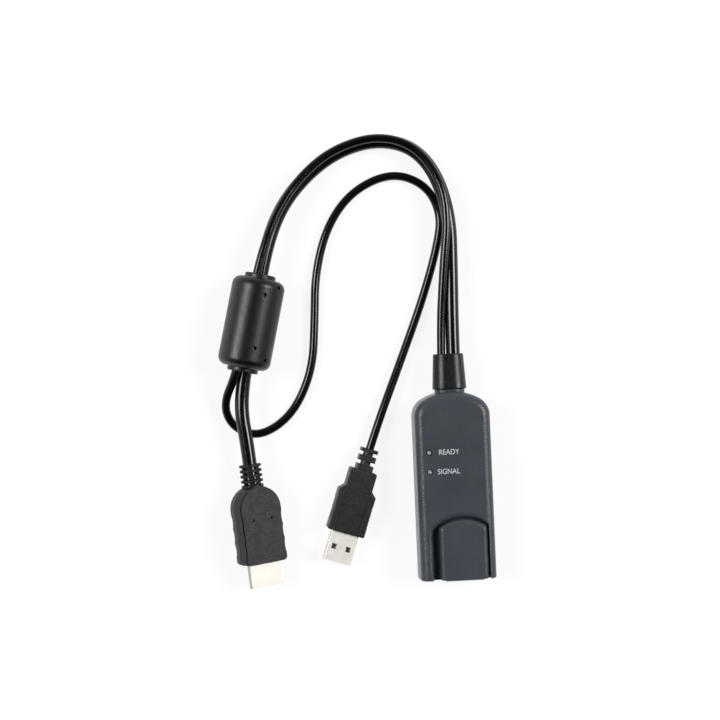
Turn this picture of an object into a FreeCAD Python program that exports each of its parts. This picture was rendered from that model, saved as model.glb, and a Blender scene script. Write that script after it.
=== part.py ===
import FreeCAD, Part
import math
import os

# A keyboard, video and mouse interface module for a server rack. A network jack sits in the end of
# a small two-part housing. A strain boot at the other end carries a video cord and a data cord,
# which share a moulded ferrite and end in a video plug and a data plug.
#
# Units are millimetres. +Z is up and z = 0 is the surface that everything lies on. The housing lies
# along Y: the boot points to +Y and the jack to -Y. The origin is under the middle of the housing
# and boot together.

V = FreeCAD.Vector
Y_AXIS = V(0, 1, 0)
Z_AXIS = V(0, 0, 1)

# ---- Housing -------------------------------------------------------------------------------------
housing_length = 79.0
housing_width = 32.0
wall = 1.6
parting_height = 9.0          # plane between the bottom and the top cover, and height of the boot's axis
shoulder_radius = 8.5
arch_depth = 10.5             # from the crown of the arch to where the straight sides start
top_round = 3.8
base_round = 0.8
front_round = 0.7
seam_width = 0.35             # shadow line between the two covers
lip_height = 1.0              # lip of the bottom cover that locates the top cover
lip_thickness = 0.7
fit_clearance = 0.1
free_clearance = 0.3          # where a piece only passes another
overcut = 1.0                 # how far a cutting tool reaches past what it cuts

# Raised jack cover in its recess, at the front of the top cover
hump_side = 2.2               # from the side of the jack to the outside of its cover
hump_right_margin = 3.3
hump_back_reach = 25.4        # from the housing's front face to the crown of the jack cover
hump_arch_radius = 18.0
hump_round = 2.0
hump_corner = 1.6
recess_depth = 4.5
recess_gap = 0.6              # between the jack cover and the recess wall behind and beside it
recess_corner = 3.0
rail_width = 5.6              # left of the recess
rail_flat = 0.2               # flat strip between the two rounds on the top of the rail

# Rounded rim of the recess: widest behind the jack cover, gone where it meets the right-hand rail
rim_depth = 3.0
rim_arch_reach = 2.8
rim_arch_radius = 15.6
rim_arch_shift = 1.4          # from the jack cover's middle to the rim's, towards the left
rim_steps = 4

# Neck and strain boot
neck_reach = 0.9
neck_width = 12.8
neck_height = 9.4
neck_hole_width = 11.4
neck_hole_height = 7.8
neck_block_width = 17.0
neck_block_depth = 3.2
boot_length = 15.0
boot_root_width = 14.5
boot_root_height = 11.4
boot_mouth_width = 12.8
boot_mouth_height = 10.0
boot_flange_width = 13.6
boot_flange_height = 9.8
boot_flange_thickness = 1.5
boot_round = 0.5
jacket_inside = 5.0           # cord jacket inside the housing, past the flange

# Screws, through the bottom cover into the top cover
screw_diameter = 2.2
screw_head_diameter = 4.0
screw_head_height = 1.5
screw_head_round = 0.5
screw_slot_width = 0.7
screw_slot_length = 2.4
screw_slot_depth = 0.8
screw_length = 9.4
counterbore_depth = 2.0
boss_diameter = 5.0
screw_edge_inset = 5.0        # from the housing's side to a screw
front_screw_reach = 7.0       # from the housing's front face to the left-hand front screw
rear_screw_reach = 64.0

# Circuit board and what it carries
board_thickness = 1.2
board_lift = 1.2              # height of the standoffs above the floor
board_margin = 1.0
board_past_screws = 1.0       # from the rear screws to the board's rear edge
standoff_diameter = 3.0
standoff_inset = 0.8          # of a standoff's middle past the front edge of what it stands under
row_gap = 1.5                 # between one row of parts on the board and the next
part_round = 0.3              # on the top edges of the moulded and canned parts
chip_offset = 1.5             # of the two chips from the middle, away from the indicators
chip_height = 1.4
chip_side = 12.0
memory_width = 10.0
memory_depth = 6.0
memory_height = 1.1
transformer_width = 11.4
transformer_depth = 7.6
transformer_height = 4.6
crystal_inset = 3.0           # from the left-hand screws to the middle of the crystal
crystal_length = 10.0
crystal_width = 4.4
crystal_height = 3.4
capacitor_diameter = 4.6
capacitor_height = 5.2
capacitor_pitch = 6.2
header_height = 4.0
header_depth = 4.0
header_wall = 0.6
header_floor = 1.0
header_gap = 1.2
video_header_width = 10.6
data_header_width = 4.2

# Network jack
jack_width = 16.0
jack_height = 12.2
jack_headroom = 0.2           # from the top of the jack to the inside of its cover
jack_depth = 21.0
jack_lip = 0.5                # reach of the jack beyond the housing's front face
shield_thickness = 0.3
socket_width = 11.8
socket_height = 6.9
socket_depth = 14.5
socket_floor = 3.4            # from the jack's base to the plug cavity
latch_width = 6.2
latch_depth = 1.6
latch_key_width = 3.4
latch_key_depth = 1.2
contact_count = 8
contact_pitch = 1.02
contact_wire = 0.4
contact_root = 3.0            # straight length of a contact, held in its slot
contact_reach = 8.6           # from the back of the plug cavity to a contact's free tip
contact_drop = 2.2            # of the free tip below the roof of the plug cavity

# Indicators
pipe_diameter = 1.9
pipe_well_diameter = 2.7
pipe_well_depth = 0.8
pipe_sleeve_diameter = 3.6
pipe_sleeve_length = 3.0
pipe_collar = 0.8
pipe_dome_round = 0.55
pipe_recess = 0.35            # from the top face down to the dome of a light pipe
indicator_inset = 5.4         # from the housing's left side
power_reach = 53.75           # from the housing's front face
indicator_pitch = 8.1
lamp_side = 2.0
lamp_height = 0.8

# Cords
video_cord_diameter = 6.0
data_cord_diameter = 3.6
cord_clearance = 0.1          # by which the channel for a cord is wider than the cord
cord_gap = 0.4                # between the two cords in the boot
video_cord_offset = 2.05      # of the video cord from the middle of the boot
tie_thickness = 1.1
tie_width = 2.6
tie_lock_width = 3.6
tie_lock_height = 2.2

# Ferrite and its moulding
ferrite_x = -82.45
ferrite_y = 63.95
ferrite_heading = -13.2       # degrees, turn of the axis about Z from straight along -Y
ferrite_wall = 1.6            # of the moulding round the core
ferrite_end_wall = 1.9
ferrite_round = 3.6
collar_diameter = 13.0
collar_length = 1.85
collar_round = 0.6
core_diameter = 19.0
core_bore = 11.4
core_length = 34.2
core_round = 0.8
pin_hole_diameter = 1.7       # left by the pins that held the core in the mould
pin_hole_shift = 1.1          # of the holes' pattern from the middle, towards the housing
inner_pin_spacing = 22.4
inner_pin_turn = 18.4         # degrees from straight up
outer_pin_spacing = 30.6
outer_pin_turn = 52.6

# Video plug
video_plug_x = -85.65
video_plug_y = 4.66
video_plug_z = 9.1
video_plug_heading = 5.05
video_plug_roll = 25.0
video_cord_free = 9.0         # straight end of the cord behind the plug
video_cord_reach = 4.4        # of the cord into the plug
video_relief_length = 8.6
video_body_length = 32.9
video_body_width = 20.2       # at the parting line
video_shoulder_width = 18.8   # where the sides meet the plates
video_plate_width = 18.0
video_body_thickness = 11.4
video_plate_thickness = 0.7
video_front_corner = 1.6
scallop_count = 3
scallop_length = 6.0
scallop_depth = 0.35
scallop_front_margin = 3.2
label_width = 10.0            # shallow pad in each plate
label_length = 6.4
label_depth = 0.15
label_round = 1.5
label_reach = 5.3             # from the rear of the body to the pad
mould_mark_diameter = 1.2
mould_mark_depth = 0.8
mould_mark_spacing = 8.2
mould_mark_reach = 14.5       # from the rear of the body
video_metal_width = 13.9
video_metal_height = 4.45
video_metal_reach = 10.0
video_metal_root = 6.5
video_metal_chamfer = 1.7
metal_thickness = 0.35
video_slot_height = 1.9
video_slot_margin = 0.9
video_slot_depth = 8.0
video_contact_count = 10
video_contact_pitch = 1.0
video_contact_width = 0.5
video_contact_thickness = 0.2
video_contact_inset = 0.6     # from the mouth of the slot
relief_core_diameter = 7.4
relief_rib_diameter = 9.3
relief_rib_thickness = 1.1
relief_rib_round = 0.25
relief_rib_count = 5
relief_window_width = 1.9
relief_window_count = 6       # round the sleeve, between two ribs

# Data plug
data_plug_x = -34.7
data_plug_y = 8.6
data_plug_z = 4.65
data_plug_heading = -19.0
data_plug_roll = 4.7
data_cord_free = 8.0
data_cord_reach = 11.0
data_relief_length = 9.4
data_body_length = 27.6
data_rear_width = 11.7
data_front_width = 16.2
data_body_thickness = 7.8
data_step_start = 7.7
data_step_end = 9.9
data_corner_round = 0.8
data_edge_round = 0.6
data_panel_width = 10.1       # shallow panel in the upper and the lower face
data_panel_depth = 0.25
data_panel_round = 0.5
data_panel_rear = 8.9         # from the rear of the body to the panel
data_panel_front = 3.2        # from the panel to the front of the body
grip_count = 11               # grooves in each side
grip_pitch = 0.85
grip_width = 0.4
grip_depth = 0.3
grip_reach = 14.0             # from the rear of the body to the first groove
data_relief_core = 4.4
data_relief_rib_width = 7.2
data_relief_rib_height = 6.4
data_relief_rib_round = 0.6
data_relief_rib_thickness = 2.4
data_relief_tip_thickness = 1.5
data_relief_rib_count = 3     # the last one, at the tip, is thinner
data_metal_width = 12.0
data_metal_height = 4.5
data_metal_reach = 12.9
data_metal_root = 6.0
data_metal_round = 0.8
data_window_width = 2.1
data_window_length = 2.3
data_window_spacing = 6.2
data_window_reach = 6.4       # from the plug's nose to the middle of the windows
data_insulator_thickness = 1.9
data_insulator_inset = 0.5    # from the plug's nose
data_contact_count = 4
data_contact_pitch = 2.2
data_contact_width = 1.0
data_contact_thickness = 0.2
data_contact_inset = 2.4      # from the plug's nose to the inner contacts
data_contact_lead = 1.0       # of the two outer contacts ahead of the inner ones

# ---- Places that follow from the sizes -----------------------------------------------------------
housing_height = 2 * wall + board_lift + board_thickness + jack_height + jack_headroom
total_length = jack_lip + housing_length + neck_reach + boot_length
housing_front = -total_length / 2 + jack_lip
housing_back = housing_front + housing_length
half_width = housing_width / 2
arch_start = housing_back - arch_depth
shoulder_x = half_width - shoulder_radius
crown_reach = arch_depth - shoulder_radius
crown_radius = (shoulder_x ** 2 + arch_depth ** 2 - shoulder_radius ** 2) / (2 * crown_reach)
crown_y = housing_back - crown_radius

hump_right = half_width - hump_right_margin
hump_left = hump_right - jack_width - 2 * hump_side
hump_x = (hump_left + hump_right) / 2
hump_back = housing_front + hump_back_reach
hump_arch_y = hump_back - hump_arch_radius
recess_floor = housing_height - recess_depth
recess_left = -half_width + rail_width
recess_right = hump_right + recess_gap
recess_arch_radius = hump_arch_radius + recess_gap
rim_reach = rail_width - top_round - rail_flat

cord_height = parting_height
video_cord_x = video_cord_offset
data_cord_x = video_cord_x - (video_cord_diameter + data_cord_diameter) / 2 - cord_gap
boot_root = housing_back + neck_reach
boot_mouth = boot_root + boot_length
flange_back = housing_back - neck_block_depth
flange_front = flange_back - boot_flange_thickness
jacket_end = flange_front - jacket_inside

floor_top = wall
board_bottom = floor_top + board_lift
board_top = board_bottom + board_thickness
jack_front = housing_front - jack_lip
jack_back = jack_front + jack_depth
jack_top = board_top + jack_height
socket_bottom = board_top + socket_floor
socket_top = socket_bottom + socket_height
rear_screw_y = housing_front + rear_screw_reach
board_back = rear_screw_y + board_past_screws
indicator_x = -half_width + indicator_inset
power_y = housing_front + power_reach
active_y = power_y - indicator_pitch
screw_x = half_width - screw_edge_inset
screw_places = [
    (-screw_x, housing_front + front_screw_reach),
    (screw_x, jack_back + boss_diameter),
    (-screw_x, rear_screw_y),
    (screw_x, rear_screw_y),
]

# Rows of parts on the board, from the rear screws forwards
board_side = half_width - wall - board_margin
header_y = rear_screw_y - (boss_diameter + board_margin + header_depth) / 2
header_span = video_header_width + header_gap + data_header_width
chip_y = header_y - header_depth / 2 - row_gap - chip_side / 2
memory_y = chip_y - chip_side / 2 - row_gap - memory_depth / 2
transformer_y = jack_back + row_gap + transformer_depth / 2

ferrite_radius = core_diameter / 2 + ferrite_wall
ferrite_half_length = core_length / 2 + ferrite_end_wall

video_body_front = -video_relief_length - video_body_length
video_nose = video_body_front - video_metal_reach
data_body_front = -data_relief_length - data_body_length
data_nose = data_body_front - data_metal_reach


def ahead_of(x, y, z, heading, distance):
    """Point on a plug's axis, at a distance ahead of the place where its cord enters."""
    angle = math.radians(heading)
    return (x + distance * math.sin(angle), y - distance * math.cos(angle), z)


video_entry = (video_plug_x, video_plug_y, video_plug_z, video_plug_heading)
data_entry = (data_plug_x, data_plug_y, data_plug_z, data_plug_heading)

# Routes of the two cords, from inside the housing through the ferrite to the plugs
video_route = [
    (video_cord_x, jacket_end, cord_height),
    (video_cord_x, 54.0, cord_height),
    (3.2, 86.0, 6.8),
    (3.5, 105.4, 6.0),
    (-1.0, 124.0, 5.0),
    (-10.5, 136.5, 3.5),
    (-25.7, 140.5, 3.05),
    (-42.1, 136.4, 3.05),
    (-56.3, 126.7, 4.4),
    (-68.8, 111.9, 7.0),
    (-76.2, 92.0, 8.5),
    (-81.3, 65.1, 8.75),
    (-86.9, 40.9, 8.75),
    (-88.4, 27.1, 8.8),
    ahead_of(*video_entry, -video_cord_free),
    ahead_of(*video_entry, video_cord_reach),
]
data_route = [
    (data_cord_x, jacket_end, cord_height),
    (data_cord_x, 54.0, cord_height),
    (-0.4, 86.0, 10.7),
    (2.0, 104.5, 11.0),
    (0.2, 120.5, 10.2),
    (-9.5, 136.0, 8.5),
    (-25.5, 141.4, 7.95),
    (-43.5, 136.9, 7.95),
    (-57.4, 127.0, 9.3),
    (-69.0, 112.2, 11.9),
    (-77.4, 92.3, 13.25),
    (-83.4, 68.0, 13.2),
    (-89.6, 43.0, 13.3),
    (-95.7, 30.7, 7.0),
    (-92.9, 21.0, 2.8),
    (-83.2, 16.0, 1.9),
    (-72.8, 19.9, 1.9),
    (-63.9, 29.1, 1.9),
    (-57.3, 44.9, 1.9),
    (-55.7, 64.1, 1.9),
    (-54.6, 84.4, 1.9),
    (-48.6, 104.6, 1.9),
    (-37.2, 119.1, 1.9),
    (-19.9, 126.3, 1.9),
    (-5.3, 120.3, 1.9),
    (0.5, 107.4, 1.9),
    (-2.0, 93.5, 1.9),
    (-8.6, 72.9, 1.9),
    (-18.3, 48.7, 1.9),
    ahead_of(*data_entry, -data_cord_free),
    ahead_of(*data_entry, data_cord_reach),
]


# ---- Helpers -------------------------------------------------------------------------------------
def box(x0, x1, y0, y1, z0, z1):
    return Part.makeBox(x1 - x0, y1 - y0, z1 - z0, V(x0, y0, z0))


def upright(diameter, x, y, z0, z1):
    return Part.makeCylinder(diameter / 2, z1 - z0, V(x, y, z0), Z_AXIS)


def line(a, b):
    return Part.LineSegment(V(*a), V(*b)).toShape()


def arc(a, middle, b):
    return Part.Arc(V(*a), V(*middle), V(*b)).toShape()


def plate(edges, z0, z1):
    """Prism between two heights over a closed outline drawn at z = 0."""
    face = Part.Face(Part.Wire(edges))
    face.translate(V(0, 0, z0))
    return face.extrude(V(0, 0, z1 - z0))


def stadium(width, height, y, z):
    """Oval section with round ends, standing across the Y axis."""
    radius = height / 2
    reach = width / 2 - radius
    low, high = z - radius, z + radius
    return Part.Wire([
        line((-reach, y, low), (reach, y, low)),
        arc((reach, y, low), (width / 2, y, z), (reach, y, high)),
        line((reach, y, high), (-reach, y, high)),
        arc((-reach, y, high), (-width / 2, y, z), (-reach, y, low)),
    ])


def stadium_bar(width, height, y0, y1, z):
    return Part.Face(stadium(width, height, y0, z)).extrude(V(0, y1 - y0, 0))


def rounded(shape, radius, keep):
    """Fillet the edges for which keep(edge) is true."""
    return shape.makeFillet(radius, [edge for edge in shape.Edges if keep(edge)])


def lies_at(edge, axis, value):
    low = getattr(edge.BoundBox, axis + "Min")
    high = getattr(edge.BoundBox, axis + "Max")
    return abs(low - value) < 1e-4 and abs(high - value) < 1e-4


def union(shapes):
    first, rest = shapes[0], shapes[1:]
    return first.fuse(rest).removeSplitter() if rest else first


def cord_bore(diameter, depth):
    """Blind bore for the end of a cord, in a plug drawn with its cord entry at the origin."""
    return Part.makeCylinder(diameter / 2 + fit_clearance / 2, depth + overcut, V(0, -depth, 0), Y_AXIS)


def place(shape, x, y, z, heading, roll=0.0):
    """Move a piece drawn along -Y to its place: rolled about its axis, then turned about Z."""
    shape = shape.copy()
    shape.rotate(V(0, 0, 0), Y_AXIS, roll)
    shape.rotate(V(0, 0, 0), Z_AXIS, heading)
    shape.translate(V(x, y, z))
    return shape


def export(name, shape):
    shape.exportStep("parts/" + name + ".step")


# ---- Housing -------------------------------------------------------------------------------------
def housing_outline(inset):
    """Plan of the housing: straight sides, round shoulders and a flatter crown."""
    side = half_width - inset
    front = housing_front + inset
    shoulder = shoulder_radius - inset
    crown = crown_radius - inset
    lean = math.atan2(arch_start - crown_y, shoulder_x)
    join = (crown * math.cos(lean), crown_y + crown * math.sin(lean), 0)
    bend = (shoulder_x + shoulder * math.cos(lean / 2), arch_start + shoulder * math.sin(lean / 2), 0)
    mirror = [(-p[0], p[1], 0) for p in (join, bend)]
    return [
        line((-side, front, 0), (side, front, 0)),
        line((side, front, 0), (side, arch_start, 0)),
        arc((side, arch_start, 0), bend, join),
        arc(join, (0, crown_y + crown, 0), mirror[0]),
        arc(mirror[0], mirror[1], (-side, arch_start, 0)),
        line((-side, arch_start, 0), (-side, front, 0)),
    ]


def housing_block(inset, z0, z1):
    return plate(housing_outline(inset), z0, z1)


def hump_outline(inset):
    """Plan of the raised jack cover, with an arched back."""
    left, right = hump_left + inset, hump_right - inset
    front = housing_front + inset
    radius = hump_arch_radius - inset
    reach = (right - left) / 2
    corner = hump_arch_y + math.sqrt(radius ** 2 - reach ** 2)
    return [
        line((left, front, 0), (right, front, 0)),
        line((right, front, 0), (right, corner, 0)),
        arc((right, corner, 0), (hump_x, hump_arch_y + radius, 0), (left, corner, 0)),
        line((left, corner, 0), (left, front, 0)),
    ]


def recess_outline(grow, rim, z):
    """Outline of the recess at a height: rim is 0 at its wall and 1 where the rim meets the top face."""
    front = housing_front - overcut
    left, right = recess_left - grow - rim * rim_reach, recess_right + grow
    radius = recess_arch_radius + rim * (rim_arch_radius - recess_arch_radius)
    x = hump_x - rim * rim_arch_shift
    y = hump_back + recess_gap + rim * rim_arch_reach - radius
    corner = recess_corner + rim * rim_reach
    corner_x = recess_left + recess_corner
    corner_y = y + math.sqrt((radius - corner) ** 2 - (corner_x - x) ** 2)
    radius, corner = radius + grow, corner + grow
    start = math.acos((right - x) / radius)
    lean = math.atan2(corner_y - y, corner_x - x)
    on_arch = lambda angle: (x + radius * math.cos(angle), y + radius * math.sin(angle), z)
    turn = (lean + math.pi) / 2
    bend = (corner_x + corner * math.cos(turn), corner_y + corner * math.sin(turn), z)
    return Part.Wire([
        line((left, front, z), (right, front, z)),
        line((right, front, z), on_arch(start)),
        arc(on_arch(start), on_arch((start + lean) / 2), on_arch(lean)),
        arc(on_arch(lean), bend, (left, corner_y, z)),
        line((left, corner_y, z), (left, front, z)),
    ])


def recess_block(grow, rim, z0, z1):
    return Part.Face(recess_outline(grow, rim, z0)).extrude(V(0, 0, z1 - z0))


def recess_rim():
    """Cut lofted through outlines that open towards the top face in a quarter of an oval."""
    sections = []
    for step in range(rim_steps + 1):
        angle = math.pi / 2 * step / rim_steps
        drop = rim_depth * (1 - math.cos(angle))
        sections.append(recess_outline(0, 1 - math.sin(angle), housing_height - drop))
    return Part.makeLoft(sections, True, False)


def lies_upright(edge):
    size = edge.BoundBox
    return size.XLength < 1e-4 and size.YLength < 1e-4


def round_front(block):
    """Round the front edges of a block, all but the ones on the parting plane."""
    keep = lambda e: lies_at(e, "Y", housing_front) and not lies_at(e, "Z", parting_height)
    return rounded(block, front_round, keep)


def round_top(block, radius):
    """Round the top edges of a block, all but the front one."""
    keep = lambda e: lies_at(e, "Z", housing_height) and not lies_at(e, "Y", housing_front)
    return rounded(block, radius, keep)


def hump():
    block = plate(hump_outline(0), parting_height, housing_height)
    block = rounded(block, hump_corner, lambda e: lies_upright(e) and not lies_at(e, "Y", housing_front))
    return round_front(round_top(block, hump_round))


def outer_top():
    block = round_front(round_top(housing_block(0, parting_height, housing_height), top_round))
    rim_bottom = housing_height - rim_depth
    block = block.cut(recess_block(0, 0, recess_floor, rim_bottom))
    block = block.cut(recess_rim())
    return block.cut(recess_block(0, 1, housing_height, housing_height + overcut))


def neck_block(z0, z1, shell):
    """Thick web behind the crown that holds the boot, and the short collar outside it."""
    web = box(-neck_block_width / 2, neck_block_width / 2, flange_back, housing_back, z0, z1).common(shell)
    collar = stadium_bar(neck_width, neck_height, housing_back - wall, boot_root - fit_clearance, cord_height)
    half = box(-housing_width, housing_width, housing_back - wall, boot_root, z0, z1)
    return web.fuse(collar.common(half))


def neck_hole():
    return stadium_bar(neck_hole_width, neck_hole_height, flange_back - overcut, boot_root + overcut,
                       cord_height)


def jack_window():
    gap = 2 * fit_clearance
    reach = jack_width / 2 + gap
    return box(hump_x - reach, hump_x + reach, housing_front - overcut, housing_front + wall + overcut,
               board_top - gap, jack_top + gap)


def web_box(clearance):
    """Space of the thick web behind the crown, grown by a clearance at its sides and front."""
    reach = neck_block_width / 2 + clearance
    return box(-reach, reach, flange_back - clearance, housing_back, 0, housing_height)


def top_cover():
    shell = outer_top()
    solid = shell.fuse(hump())
    ceiling = housing_height - wall
    cavity = housing_block(wall, parting_height - overcut, ceiling)
    cavity = rounded(cavity, top_round - wall, lambda e: lies_at(e, "Z", ceiling))
    cavity = cavity.cut(recess_block(wall, 0, recess_floor - wall, housing_height))
    cover = solid.cut([cavity, plate(hump_outline(wall), parting_height - overcut, ceiling)])
    bosses = [upright(boss_diameter, x, y, parting_height, ceiling).common(solid) for x, y in screw_places]
    sleeves = [upright(pipe_sleeve_diameter, indicator_x, y, ceiling - pipe_sleeve_length, ceiling)
               for y in (power_y, active_y)]
    cover = union([cover, neck_block(parting_height, ceiling, shell)] + bosses + sleeves)
    depth = counterbore_depth + screw_length + free_clearance
    cuts = [upright(screw_diameter + fit_clearance, x, y, 0, depth) for x, y in screw_places]
    top = housing_height + overcut
    for y in (power_y, active_y):
        cuts.append(upright(pipe_diameter + fit_clearance, indicator_x, y, parting_height, top))
        cuts.append(upright(pipe_well_diameter, indicator_x, y, housing_height - pipe_well_depth, top))
    rebate = lip_thickness + 2 * fit_clearance
    seat = housing_block(wall - rebate, parting_height - overcut, parting_height + lip_height + fit_clearance)
    seat = seat.cut([housing_block(wall, 0, housing_height), web_box(0)])
    return cover.cut(cuts + [seat, neck_hole(), jack_window()]).removeSplitter()


def bottom_cover():
    tub = housing_block(0, 0, parting_height)
    tub = rounded(tub, base_round, lambda e: lies_at(e, "Z", 0))
    cavity = housing_block(wall, floor_top, parting_height + lip_height + overcut)
    seam = housing_block(0, parting_height - seam_width, parting_height)
    seam = seam.cut(housing_block(seam_width, 0, housing_height))
    shell = tub.cut([cavity, seam])
    lip = housing_block(wall - lip_thickness, parting_height - wall, parting_height + lip_height)
    lip = lip.cut([cavity, web_box(free_clearance)])
    bosses = [upright(boss_diameter, x, y, floor_top / 2, parting_height) for x, y in screw_places]
    posts = [upright(standoff_diameter, x, y, floor_top / 2, board_bottom) for x, y in standoff_places()]
    tub = union([shell, lip, neck_block(0, parting_height, tub)] + bosses + posts)
    top = parting_height + overcut
    cuts = [upright(screw_diameter + free_clearance, x, y, 0, top) for x, y in screw_places]
    head = screw_head_diameter + free_clearance
    cuts += [upright(head, x, y, 0, counterbore_depth) for x, y in screw_places]
    return tub.cut(cuts + [neck_hole(), jack_window()]).removeSplitter()


def standoff_places():
    """Beside the jack, under the board's waist and in front of the rear screws."""
    waist = (transformer_y + memory_y) / 2
    return [(-screw_x, jack_back + standoff_inset), (screw_x, waist), (-screw_x, chip_y), (screw_x, chip_y)]


def housing_screws():
    screws = []
    head_bottom = counterbore_depth - screw_head_height
    half, reach = screw_slot_width / 2, screw_slot_length / 2
    for x, y in screw_places:
        head = upright(screw_head_diameter, x, y, head_bottom, counterbore_depth)
        head = rounded(head, screw_head_round, lambda e: lies_at(e, "Z", head_bottom))
        slot_top = head_bottom + screw_slot_depth
        cross = [box(x - reach, x + reach, y - half, y + half, 0, slot_top),
                 box(x - half, x + half, y - reach, y + reach, 0, slot_top)]
        shank = upright(screw_diameter, x, y, counterbore_depth, counterbore_depth + screw_length)
        screws.append(head.fuse(shank).removeSplitter().cut(cross))
    return Part.makeCompound(screws)


# ---- Circuit board -------------------------------------------------------------------------------
def on_board(x, y, width, depth, height):
    return box(x - width / 2, x + width / 2, y - depth / 2, y + depth / 2, board_top, board_top + height)


def circuit_board():
    front = housing_front + wall + board_margin / 2
    board = box(-board_side, board_side, front, board_back, board_bottom, board_top)
    notches = [upright(boss_diameter + board_margin, x, y, 0, housing_height) for x, y in screw_places]
    return board.cut(notches)


def topped(body, height):
    """Round the top edges of a part that stands on the board."""
    return rounded(body, part_round, lambda e: lies_at(e, "Z", board_top + height))


def main_chip():
    return topped(on_board(chip_offset, chip_y, chip_side, chip_side, chip_height), chip_height)


def memory_chip():
    return topped(on_board(chip_offset, memory_y, memory_width, memory_depth, memory_height), memory_height)


def network_transformer():
    body = on_board(hump_x, transformer_y, transformer_width, transformer_depth, transformer_height)
    return topped(body, transformer_height)


def crystal():
    length, radius = crystal_length / 2 - crystal_width / 2, crystal_width / 2
    x, y = -screw_x + crystal_inset, memory_y
    can = plate([
        line((x - radius, y - length, 0), (x - radius, y + length, 0)),
        arc((x - radius, y + length, 0), (x, y + length + radius, 0), (x + radius, y + length, 0)),
        line((x + radius, y + length, 0), (x + radius, y - length, 0)),
        arc((x + radius, y - length, 0), (x, y - length - radius, 0), (x - radius, y - length, 0)),
    ], board_top, board_top + crystal_height)
    return topped(can, crystal_height)


def capacitors():
    x = board_side - (capacitor_diameter + part_round) / 2
    cans = []
    for y in (chip_y - capacitor_pitch / 2, chip_y + capacitor_pitch / 2):
        can = upright(capacitor_diameter, x, y, board_top, board_top + capacitor_height)
        cans.append(topped(can, capacitor_height))
    return Part.makeCompound(cans)


def cord_header(x, width):
    """Open-backed header for the wires of a cord."""
    body = on_board(x, header_y, width, header_depth, header_height)
    reach, back = width / 2 - header_wall, header_y + header_depth / 2
    well = box(x - reach, x + reach, back - header_depth + header_wall, back + overcut,
               board_top + header_floor, board_top + header_height - header_wall)
    return body.cut(well)


def indicator_lamps():
    lamps = [on_board(indicator_x, y, lamp_side, lamp_side, lamp_height) for y in (power_y, active_y)]
    return Part.makeCompound(lamps)


def light_pipe(y):
    """Clear rod that carries light from a lamp on the board to a well in the top face."""
    bottom = board_top + lamp_height + fit_clearance
    top = housing_height - pipe_recess
    rod = upright(pipe_diameter, indicator_x, y, bottom, top)
    rod = rounded(rod, pipe_dome_round, lambda e: lies_at(e, "Z", top))
    collar_top = housing_height - wall - pipe_sleeve_length
    collar = upright(pipe_sleeve_diameter, indicator_x, y, collar_top - pipe_collar, collar_top)
    return rod.fuse(collar).removeSplitter()


# ---- Network jack --------------------------------------------------------------------------------
def jack_block(inset, front, back, z0, z1):
    return box(hump_x - jack_width / 2 + inset, hump_x + jack_width / 2 - inset, front, back, z0, z1)


def socket_cavity(front, back):
    middle = hump_x
    half = socket_width / 2
    latch_bottom = socket_bottom - latch_depth
    return union([
        box(middle - half, middle + half, front, back, socket_bottom, socket_top),
        box(middle - latch_width / 2, middle + latch_width / 2, front, back, latch_bottom, socket_bottom),
        box(middle - latch_key_width / 2, middle + latch_key_width / 2, front, back,
            latch_bottom - latch_key_depth, latch_bottom),
    ])


def network_jack_housing():
    skin = shield_thickness
    body = jack_block(skin, jack_front + skin, jack_back - skin, board_top, jack_top - skin)
    return body.cut(socket_cavity(jack_front, jack_front + socket_depth)).cut(contact_slots())


def network_jack_shield():
    """Folded sheet over the front, sides, top and back of the jack."""
    skin = shield_thickness
    outside = jack_block(0, jack_front, jack_back, board_top, jack_top)
    inside = jack_block(skin, jack_front + skin, jack_back - skin, 0, jack_top - skin)
    return outside.cut([inside, socket_cavity(jack_front - overcut, jack_front + overcut)])


def contact_x(index):
    return hump_x + (index - (contact_count - 1) / 2) * contact_pitch


def contact_slots():
    """Slots in the roof of the plug cavity that hold the straight ends of the contacts."""
    root = jack_front + socket_depth
    half = contact_wire / 2 + fit_clearance
    slots = []
    for index in range(contact_count):
        x = contact_x(index)
        slots.append(box(x - half, x + half, root - contact_reach, root, socket_top - fit_clearance,
                         socket_top + contact_wire))
    return Part.makeCompound(slots)


def network_jack_contacts():
    """Sprung wires, straight in their slots and then sloping down and forwards to a free tip."""
    root = jack_front + socket_depth
    knee, tip = root - contact_root, root - contact_reach
    high, low = socket_top + contact_wire, socket_top - contact_drop
    contacts = []
    for index in range(contact_count):
        x = contact_x(index) - contact_wire / 2
        corners = [(root, high - contact_wire), (knee, high - contact_wire), (tip, low - contact_wire),
                   (tip, low), (knee, high), (root, high), (root, high - contact_wire)]
        outline = Part.makePolygon([V(x, y, z) for y, z in corners])
        contacts.append(Part.Face(outline).extrude(V(contact_wire, 0, 0)))
    return Part.makeCompound(contacts)


# ---- Strain boot and cords -----------------------------------------------------------------------
def strain_boot(channels):
    """Tapered oval boot with a stem through the neck and a flange held inside the housing."""
    root = stadium(boot_root_width, boot_root_height, boot_root, cord_height)
    mouth = stadium(boot_mouth_width, boot_mouth_height, boot_mouth, cord_height)
    body = Part.makeLoft([root, mouth], True, True)
    body = rounded(body, boot_round, lambda e: lies_at(e, "Y", boot_root) or lies_at(e, "Y", boot_mouth))
    stem = stadium_bar(neck_hole_width - 2 * fit_clearance, neck_hole_height - 2 * fit_clearance,
                       flange_front, boot_root + overcut, cord_height)
    flange = stadium_bar(boot_flange_width, boot_flange_height, flange_front, flange_back, cord_height)
    return union([body, stem, flange]).cut(channels)


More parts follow.
